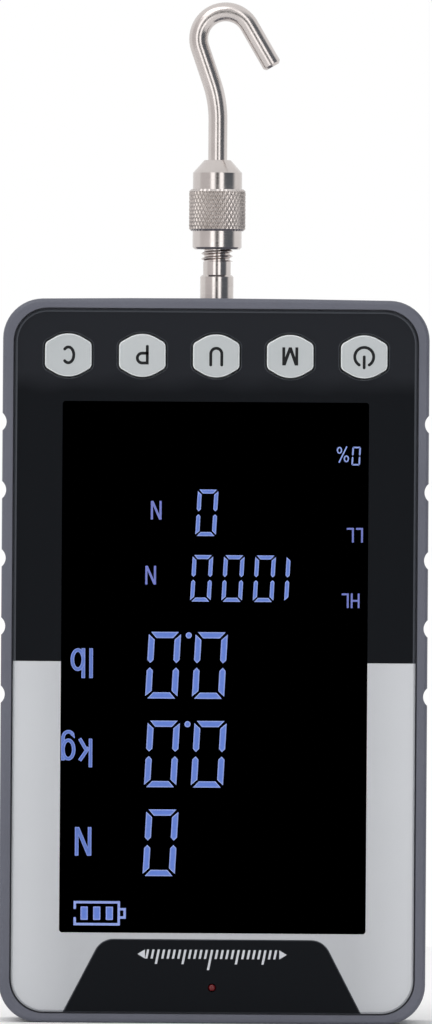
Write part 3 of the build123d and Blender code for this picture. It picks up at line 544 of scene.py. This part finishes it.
def n_outline(wide, tall, pen):
    """N as one anticlockwise outline: two stems and a diagonal that is cut flush with them."""
    right, slant = wide / 2, pen * SLANT_SHARE
    notch = tall * pen / (wide - slant)
    return [(-right, 0), (pen - right, 0), (pen - right, tall - notch), (right - slant, 0), (right, 0),
            (right, tall), (right - pen, tall), (right - pen, notch), (slant - right, tall), (-right, tall)]


def m_outline(wide, tall, pen):
    """M as one anticlockwise outline, its two diagonals meeting on the foot line."""
    right, slant, tip = wide / 2, pen * SLANT_SHARE, pen / 2
    notch = tall * pen / (right - tip)
    fork = tall * (slant - tip) / (right - tip)
    half = [(tip, 0), (right - pen, tall - notch), (right - pen, 0), (right, 0), (right, tall),
            (right - slant, tall)]
    return half + [(0, fork)] + mirrored(half)


def glyph(letter, tall, pen, edge=0.0, round_ends=False):
    """Faces of a plain letter or sign, read upright, with its foot on 0 and centred on 0."""
    wide = tall * LETTER_WIDTH[letter]
    right, top, foot = (wide - pen) / 2, tall - pen / 2, pen / 2
    body = LOWER_CASE * tall
    tail = tall - body
    bowl = P_BOWL * tall
    outlines = {"N": n_outline(wide, tall, pen), "M": m_outline(wide, tall, pen)}
    lines = {
        "H": [[(-right, 0), (-right, tall)], [(right, 0), (right, tall)],
              [(-right, tall / 2), (right, tall / 2)]],
        "L": [[(-right, tall), (-right, foot), (right + foot, foot)]],
        "U": [[(-right, tall)] + arc((0, foot + right), right, 180, 360) + [(right, tall)]],
        "C": [oval((0, tall / 2), right, tall / 2 - foot, C_MOUTH, 360 - C_MOUTH)],
        "P": [[(-right, 0), (-right, top), (right - bowl, top)]
              + arc((right - bowl, top - bowl), bowl, 90, -90) + [(-right, top - 2 * bowl)]],
        "l": [[(0, 0), (0, tall)]],
        "b": [[(-right, 0), (-right, tall)]],
        "k": [[(-right, 0), (-right, tall)], [(right, body), (foot - right, K_ARM * body)],
              [(-K_LEG_START * right, K_LEG * body), (right, 0)]],
        "g": [[(right, body)] + oval((0, 0), right, tail, 0, G_TAIL_SWEEP)],
        "%": [[(-CENT_LEAN * right, 0), (CENT_LEAN * right, tall)]],
        "power": [arc((0, tall / 2), right, 90 + POWER_GAP, 450 - POWER_GAP, POWER_STEPS),
                  [(0, tall / 2), (0, tall)]],
    }
    ring_x, ring_z = CENT_RING_PLACE[0] * right, CENT_RING_PLACE[1] * tall
    small_ring = (CENT_RING_SIZE[0] * right, CENT_RING_SIZE[1] * tall)
    rings = {  # centre, half width and half height
        "b": [((0, body / 2), right, body / 2 - foot)],
        "g": [((0, body / 2), right, body / 2 - foot)],
        "%": [((-ring_x, tall - ring_z), *small_ring), ((ring_x, ring_z), *small_ring)],
    }
    faces = patch(outlines[letter], edge) if letter in outlines else []
    for path in lines.get(letter, ()):
        faces += stroke(path, pen, edge, round_ends=round_ends)
    for centre, across, up in rings.get(letter, ()):
        faces += stroke(oval(centre, across, up, 0, 360)[:-1], pen, edge, closed=True)
    return faces


def word(letters, x, z, tall, pen, spacing, edge=0.0):
    """A row of letters from the reader's left; x and z are the left end and foot of the first."""
    faces = []
    for letter in letters:
        wide = tall * LETTER_WIDTH[letter]
        faces += moved(glyph(letter, tall, pen, edge), x + wide / 2, z)
        x += wide + spacing
    return faces


FIGURE_LEAN = 0.052  # how far a numeral's head leans over, as a share of its height
GAP_SHARE = 0.36  # gap between two segments, as a share of their stroke
INNER_GAP = 0.7  # how much of the gap is left at the inner corners
LIT_SEGMENTS = {
    "0": ("top", "bottom", "right_top", "right_bottom", "left_top", "left_bottom"),
    "1": ("right_top", "right_bottom"),
}


def seven_segment(digit, size):
    """Outlines of one numeral's lit segments, read upright and centred: mitred corners, pointed middles."""
    width, height, thick = size
    right, top, gap = width / 2, height / 2, thick * GAP_SHARE
    inset = thick + gap * INNER_GAP
    bar = [(gap - right, top), (inset - right, top - thick), (right - inset, top - thick),
           (right - gap, top)]
    upright = [(right, top - gap), (right - thick, top - inset), (right - thick, gap + thick / 2),
               (right - thick / 2, gap), (right, gap + thick / 2)]
    segments = {
        "top": bar,
        "bottom": turned_over(bar),
        "right_top": upright,
        "left_bottom": turned_over(upright),
        "left_top": mirrored(upright),
        "right_bottom": turned_over(mirrored(upright)),
    }
    return [segments[name] for name in LIT_SEGMENTS[digit]]


def number(digits, x, z, size, pitch, edge):
    """A row of numerals; x and z are the middle of the first one, as the reader sees it."""
    faces = []
    for i, digit in enumerate(digits):
        for outline in seven_segment(digit, size):
            faces += moved(patch(outline, edge), x + i * pitch, z, lean=FIGURE_LEAN)
    return faces


# ------------------------------------------------------------------ display

# Places as the reader sees them, with the gauge turned round: x runs against X, and z against Z.
FIGURE_DEPTH = -18.01  # just in front of the glass cell, inside the foot of the window
LARGE_FIGURE = (6.05, 12.5, 1.16)  # width, height and stroke
LARGE_PITCH = 8.77
LARGE_EDGE = 0.19
SMALL_FIGURE = (3.86, 8.72, 0.75)
SMALL_PITCH = 5.88
SMALL_EDGE = 0.17
TINY_FIGURE = (1.6, 3.52, 0.29)
READINGS = (("00", 0.8, -67.12), ("00", 0.9, -50.47), ("0", 9.82, -33.8))  # digits, middle of the first
POINTS = ((4.8, -72.75), (4.92, -56.08))
POINT_RADIUS = 0.57
POINT_EDGE = 0.22
POINT_STEPS = 24
HIGH_LIMIT = ("1000", -15.19, -83.47)
LOW_LIMIT = ("0", 1.56, -95.77)
CHARGE_SHARE = ("0", -26.38, -106.6)
PER_CENT = ("%", -25.06, -108.4, 3.05, 0.25, 0)
UNITS = (  # letters, left end, foot, height, pen and spacing
    ("lb", 22.75, -70.2, 5.6, 0.68, 0.78),
    ("kg", 22.75, -53.25, 5.4, 0.67, 0.45),
    ("N", 22.8, -36.65, 5.38, 0.68, 0),
)
SIGNS = (
    ("N", 11.02, -85.75, 3.5, 0.4, 0),
    ("N", 10.06, -97.94, 3.5, 0.4, 0),
    ("HL", -27.2, -80.82, 2.74, 0.34, 0.4),
    ("LL", -27.75, -93.12, 2.74, 0.34, 0.4),
)
UNIT_EDGE_SHARE = 0.24  # width of the paler edge, as a share of the pen
BATTERY_PLACE = (21.7, -20.5)
BATTERY_SIZE = (8.72, 4.58)
BATTERY_PEN = 0.46
BATTERY_NUB = 1.1
NUB_SHARE = 0.17  # half the nub's height, as a share of the battery's
BAR_PITCH = 2.37
BAR_SIZE = (1.34, 2.5)
BAR_EDGE = 0.17


def lit_display(finishes):
    """Everything that the liquid-crystal cell shows: three readings, two limits, units and the battery."""
    figures = []
    for digits, x, z in READINGS:
        figures += number(digits, x, z, LARGE_FIGURE, LARGE_PITCH, LARGE_EDGE)
    for digits, x, z in (HIGH_LIMIT, LOW_LIMIT):
        figures += number(digits, x, z, SMALL_FIGURE, SMALL_PITCH, SMALL_EDGE)
    for point in POINTS:
        figures += patch(arc(point, POINT_RADIUS, 0, 360, POINT_STEPS)[:-1], POINT_EDGE)

    units = []
    for letters, x, z, tall, pen, spacing in UNITS:
        units += word(letters, x, z, tall, pen, spacing, edge=pen * UNIT_EDGE_SHARE)

    signs = []
    for letters, x, z, tall, pen, spacing in SIGNS:
        signs += word(letters, x, z, tall, pen, spacing)

    charge = battery_sign() + all_edge(number(*CHARGE_SHARE, TINY_FIGURE, 0, 0) + word(*PER_CENT))
    figure_inks = (finishes["figure_core"], finishes["figure_edge"])
    for name, faces, inks in (
        ("display_figures", figures, figure_inks),
        ("display_units", units, (finishes["unit_core"], finishes["unit_edge"])),
        ("display_signs", signs, (finishes["sign_ink"],)),
        ("display_charge", charge, figure_inks),
    ):
        printed_piece(name, faces, FIGURE_DEPTH, "case", inks)


def battery_sign():
    """Outline of a cell with three bars and a nub, open in the middle of its other end."""
    x, z = BATTERY_PLACE
    right, top = BATTERY_SIZE[0] / 2 - BATTERY_PEN / 2, BATTERY_SIZE[1] / 2 - BATTERY_PEN / 2
    gap = BATTERY_SIZE[1] * NUB_SHARE
    cell = [(right, gap), (right, top), (-right, top), (-right, -top), (right, -top), (right, -gap)]
    nub = [(-right, -gap), (-right - BATTERY_NUB, -gap), (-right - BATTERY_NUB, gap), (-right, gap)]
    faces = all_edge(moved(stroke(cell, BATTERY_PEN) + stroke(nub, BATTERY_PEN), x, z))
    right, top = BAR_SIZE[0] / 2, BAR_SIZE[1] / 2
    for i in (-1, 0, 1):
        bar = patch([(-right, -top), (right, -top), (right, top), (-right, top)], BAR_EDGE)
        faces += moved(bar, x + i * BAR_PITCH, z)
    return faces


# ------------------------------------------------------------------ keys and panel

KEY_LEGENDS = {  # letter or sign, and its height
    "key_clear": ("C", 3.5),
    "key_peak": ("P", 3.4),
    "key_unit": ("U", 3.4),
    "key_menu": ("M", 3.4),
    "key_power": ("power", 4.1),
}
LEGEND_PEN = 0.55


def key_legends(finishes):
    """One symbol on each key, upside down, riding on its key."""
    for key, (letter, tall) in KEY_LEGENDS.items():
        x, z = middle_of(key)
        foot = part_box(key)[0].y / MM + INK_SINK
        faces = moved(glyph(letter, tall, LEGEND_PEN, round_ends=letter != "M"), -x, -z - tall / 2)
        legend = key.replace("key", "legend")
        printed_piece(legend, faces, foot, key, (finishes["legend_ink"],))


SCALE_HALF = 14.0
SCALE_FOOT = -13.8
SCALE_STEP = 1.0
SCALE_PEN = 0.42
MIDDLE_TICK, FIFTH_TICK, PLAIN_TICK = 3.8, 2.7, 1.7
SCALE_LEAN = 0.2  # how far a tick's head leans over, as a share of its height
ARROW_SIZE = (1.4, 1.7)
ARROW_STEPS = 2  # ticks left out at each end, where an arrowhead stands


def plate_scale(finishes):
    """A plain row of scale ticks between two arrowheads, on the plate at the foot of the panel."""
    faces = []
    steps = round(SCALE_HALF / SCALE_STEP) - ARROW_STEPS
    for i in range(-steps, steps + 1):
        tall = MIDDLE_TICK if i == 0 else FIFTH_TICK if i % 5 == 0 else PLAIN_TICK
        faces += moved(stroke([(0, 0), (0, tall)], SCALE_PEN), i * SCALE_STEP, SCALE_FOOT, lean=SCALE_LEAN)
    length, breadth = ARROW_SIZE
    arrow = [(SCALE_HALF, breadth / 2), (SCALE_HALF - length, breadth), (SCALE_HALF - length, 0)]
    for head in (arrow, mirrored(arrow)):
        faces += moved(patch(head), 0, SCALE_FOOT)
    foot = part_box("type_plate")[0].y / MM + INK_SINK
    printed_piece("plate_scale", faces, foot, "case", (finishes["plate_ink"],))


# ------------------------------------------------------------------ knurled sleeve

KNURL_STARTS = 40  # grooves each way round
KNURL_ANGLE = 30.0  # of a groove to the axis, in degrees
KNURL_DEPTH = 0.24
KNURL_FLAT = 1.4  # how early a diamond's flat crest begins
KNURL_TOP = 156.8  # heights are above the foot of the case
KNURL_CHAMFER = 0.4
COLLAR_RADIUS = 4.65
CONE_FOOT = 159.9
CONE_TOP_RADIUS = 2.5
SWIVEL_BORE = 2.0  # radius
SWIVEL_SHOULDER = 158.45
SPIGOT_BORE = 3.92  # radius
POINTS_PER_START = 8
SHARP_ANGLE = radians(25)  # edges that turn more than this look sharp


def knurl_depth(turn, z, pitch):
    """How far the surface lies below the crest, from 0 to 1, where two sets of grooves cross."""
    rising = turn * KNURL_STARTS + z / pitch
    falling = turn * KNURL_STARTS - z / pitch
    nearest = min(2 * abs(u - round(u)) for u in (rising, falling))
    return 1 - min(1, nearest * KNURL_FLAT)


def sleeve_rows(bottom, top, radius, pitch):
    """(height, radius, is_knurl) of each row of points, up the outside and down the bore."""
    knurl_foot, knurl_head = bottom + KNURL_CHAMFER, KNURL_TOP - KNURL_CHAMFER
    knurl_rows = round((knurl_head - knurl_foot) / pitch * POINTS_PER_START)
    rows = [(bottom, SPIGOT_BORE, False), (bottom, radius - KNURL_CHAMFER, False)]
    for i in range(knurl_rows + 1):
        rows.append((knurl_foot + (knurl_head - knurl_foot) * i / knurl_rows, radius, True))
    rows += [(KNURL_TOP, radius - KNURL_CHAMFER, False), (KNURL_TOP, COLLAR_RADIUS, False)]
    rows += [(CONE_FOOT, COLLAR_RADIUS, False), (top, CONE_TOP_RADIUS, False), (top, SWIVEL_BORE, False)]
    rows += [(SWIVEL_SHOULDER, SWIVEL_BORE, False), (SWIVEL_SHOULDER, SPIGOT_BORE, False)]
    return rows


def sleeve_loop(work, row, foot, pitch):
    """One row's points round the axis, sunk where the knurl's grooves run."""
    z, radius, is_knurl = row
    around = KNURL_STARTS * POINTS_PER_START
    loop = []
    for i in range(around):
        turn = i / around
        sink = KNURL_DEPTH * knurl_depth(turn, z - foot, pitch) if is_knurl else 0
        reach, angle = radius - sink, 2 * pi * turn
        loop.append(work.verts.new(Vector((reach * cos(angle), reach * sin(angle), z)) * MM))
    return loop


def knurled_sleeve(finishes):
    """The coupling's sleeve with its diamond knurl cut in, turned in one piece with collar and cone."""
    low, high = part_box("knurled_sleeve")
    radius = high.x / MM
    bottom, top = low.z / MM, high.z / MM
    pitch = 2 * pi * radius / KNURL_STARTS / tan(radians(KNURL_ANGLE))
    rows = sleeve_rows(bottom, top, radius, pitch)
    work = bmesh.new()
    loops = [sleeve_loop(work, row, bottom + KNURL_CHAMFER, pitch) for row in rows]
    for j, loop in enumerate(loops):
        above = loops[(j + 1) % len(loops)]
        is_cut = rows[j][2] and rows[(j + 1) % len(rows)][2]
        for i in range(len(loop)):
            k = (i + 1) % len(loop)
            face = work.faces.new((loop[i], loop[k], above[k], above[i]))
            face.smooth = not is_cut
            face.material_index = 1 if is_cut else 0
    bmesh.ops.recalc_face_normals(work, faces=work.faces[:])
    for edge in work.edges:
        edge.smooth = edge.calc_face_angle(0) < SHARP_ANGLE
    mesh = bpy.data.meshes.new("knurled_sleeve_turned")
    work.to_mesh(mesh)
    work.free()
    mesh.materials.append(finishes["stainless"])
    mesh.materials.append(finishes["knurled_stainless"])
    sleeve = bpy.data.objects.new("knurled_sleeve_turned", mesh)
    bpy.context.scene.collection.objects.link(sleeve)
    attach(sleeve, "coupling")
    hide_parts("knurled_sleeve")


# ------------------------------------------------------------------ studio

# The colour of the studio at each bearing, in degrees to the right of the camera: pale walls, a grey
# screen with a tall bright strip on each side of it, and a dark flag at the right.
STUDIO_RING = (
    (-180, "#BCBCBC"), (-100, "#BCBCBC"), (-80, "#A6A4A4"), (-33, "#A6A4A4"), (-29, "#F9F9F9"),
    (-14, "#F9F9F9"), (-10, "#8C8C8C"), (9, "#8C8C8C"), (12, "#F9F9F9"), (27, "#F9F9F9"),
    (31, "#4A4E53"), (76, "#4A4E53"), (90, "#ADADAD"), (104, "#BCBCBC"), (180, "#BCBCBC"),
)
STUDIO_CEILING = "#BCBCBC"
STUDIO_LEVEL = 2.0
CEILING_FOOT, CEILING_HEAD = radians(32), radians(58)  # elevations between which the walls turn to ceiling
LENS_OPENING = radians(4.5)  # the dark hole that the camera looks through, and its soft edge
LENS_SHADE = radians(6.0)
# The softbox and the floor are in metres and watts.
SOFTBOX_SIZE = (0.9, 0.6)
SOFTBOX_PLACE = (-0.35, -0.75, 1.1)
SOFTBOX_POWER = 3.0
FLOOR_SIZE = 1.2


def studio_ring(tree, parts, forward):
    """The colour of the walls at each bearing round the gauge."""
    bearing = add_node(tree, "ShaderNodeMath", {"operation": "ARCTAN2"}, {0: parts["X"], 1: forward})
    along = add_node(tree, "ShaderNodeMapRange", {"From Min": -pi, "From Max": pi}, {"Value": bearing})
    ring = add_node(tree, "ShaderNodeValToRGB", links={"Fac": along})
    stops = ring.color_ramp.elements
    for i, (bearing_degrees, shade) in enumerate(STUDIO_RING):
        position = (bearing_degrees + 180) / 360
        stop = stops[i] if i < 2 else stops.new(position)
        stop.position = position
        stop.color = linear(shade)
    return ring


def studio_room(tree, parts, forward):
    """The studio's colour in every direction: walls, ceiling, and the dark hole for the lens."""
    ring = studio_ring(tree, parts, forward)
    steepness = add_node(tree, "ShaderNodeMath", {"operation": "ABSOLUTE"}, {0: parts["Z"]})
    upward = {"From Min": sin(CEILING_FOOT), "From Max": sin(CEILING_HEAD)}
    ceiling = add_node(tree, "ShaderNodeMapRange", upward, {"Value": steepness})
    ceiling_tone = {"Color2": linear(STUDIO_CEILING)}
    room = add_node(tree, "ShaderNodeMixRGB", ceiling_tone, {"Fac": ceiling, "Color1": ring})
    inward = {"From Min": cos(LENS_SHADE), "From Max": cos(LENS_OPENING)}
    opening = add_node(tree, "ShaderNodeMapRange", inward, {"Value": forward})
    return add_node(tree, "ShaderNodeMixRGB", {"Color2": (0, 0, 0, 1)}, {"Fac": opening, "Color1": room})


def wall_rays(tree, parts):
    """1 for a ray that sees the white wall: the camera's, or one off metal or through glass."""
    rays = add_node(tree, "ShaderNodeLightPath").outputs
    behind = add_node(tree, "ShaderNodeMath", {"operation": "GREATER_THAN", 1: 0.0}, {0: parts["Y"]})
    bounced = add_node(tree, "ShaderNodeMath", {"operation": "ADD"},
                       {0: rays["Is Glossy Ray"], 1: rays["Is Transmission Ray"]})
    bounced_back = add_node(tree, "ShaderNodeMath", {"operation": "MULTIPLY"}, {0: bounced, 1: behind})
    return add_node(tree, "ShaderNodeMath", {"operation": "MAXIMUM"},
                    {0: rays["Is Camera Ray"], 1: bounced_back})


def light_studio():
    """Soft light from all sides, with what the metal mirrors, and the white wall behind the gauge."""
    world = bpy.data.worlds.new("studio")
    bpy.context.scene.world = world
    world.use_nodes = True
    tree = world.node_tree
    tree.nodes.clear()
    direction = add_node(tree, "ShaderNodeTexCoord").outputs["Generated"]
    parts = add_node(tree, "ShaderNodeSeparateXYZ", links={"Vector": direction}).outputs
    forward = add_node(tree, "ShaderNodeMath", {"operation": "MULTIPLY", 1: -1.0}, {0: parts["Y"]})
    room = studio_room(tree, parts, forward)
    studio_light = add_node(tree, "ShaderNodeBackground", {"Strength": STUDIO_LEVEL}, {"Color": room})
    white_wall = add_node(tree, "ShaderNodeBackground", {"Color": (1, 1, 1, 1), "Strength": 1.0})
    sources = {"Fac": wall_rays(tree, parts), 1: studio_light, 2: white_wall}
    seen = add_node(tree, "ShaderNodeMixShader", links=sources)
    add_node(tree, "ShaderNodeOutputWorld", links={"Surface": seen})


def hang_softbox():
    """One soft overhead light, aimed at the middle of the gauge."""
    softbox = bpy.data.objects.new("overhead_softbox", bpy.data.lights.new("overhead_softbox", "AREA"))
    softbox.data.shape = "RECTANGLE"
    softbox.data.size, softbox.data.size_y = SOFTBOX_SIZE
    softbox.data.energy = SOFTBOX_POWER
    softbox.location = SOFTBOX_PLACE
    aim = Vector((0, 0, cad_high.z / 2)) - softbox.location
    softbox.rotation_mode = "QUATERNION"
    softbox.rotation_quaternion = aim.to_track_quat("-Z", "Y")
    softbox.visible_camera = False
    bpy.context.scene.collection.objects.link(softbox)


def lay_floor():
    """A plain pale board under the gauge."""
    finish, tree, place = start_finish("pale_board")
    clouds = add_node(tree, "ShaderNodeTexNoise", {"Scale": per_metre(FLOW_CLOUD)}, {"Vector": place})
    tones = ("#F4F4F4", "#F7F7F7")
    close_finish(tree, place, clouds, tones, (3.0, 0.01), (0.85, 0.95), {"Specular IOR Level": 0.1})
    mesh = bpy.data.meshes.new("pale_floor")
    half = FLOOR_SIZE / 2
    corners = [(-half, -half, 0), (half, -half, 0), (half, half, 0), (-half, half, 0)]
    mesh.from_pydata(corners, [], [(0, 1, 2, 3)])
    mesh.materials.append(finish)
    floor = bpy.data.objects.new("pale_floor", mesh)
    bpy.context.scene.collection.objects.link(floor)


# ------------------------------------------------------------------ assembly

aim_camera()
finishes = make_finishes()
dress_cad_nodes(finishes)
knurled_sleeve(finishes)
lit_display(finishes)
key_legends(finishes)
plate_scale(finishes)
lay_floor()
light_studio()
hang_softbox()

bpy.context.scene.view_settings.view_transform = "Standard"
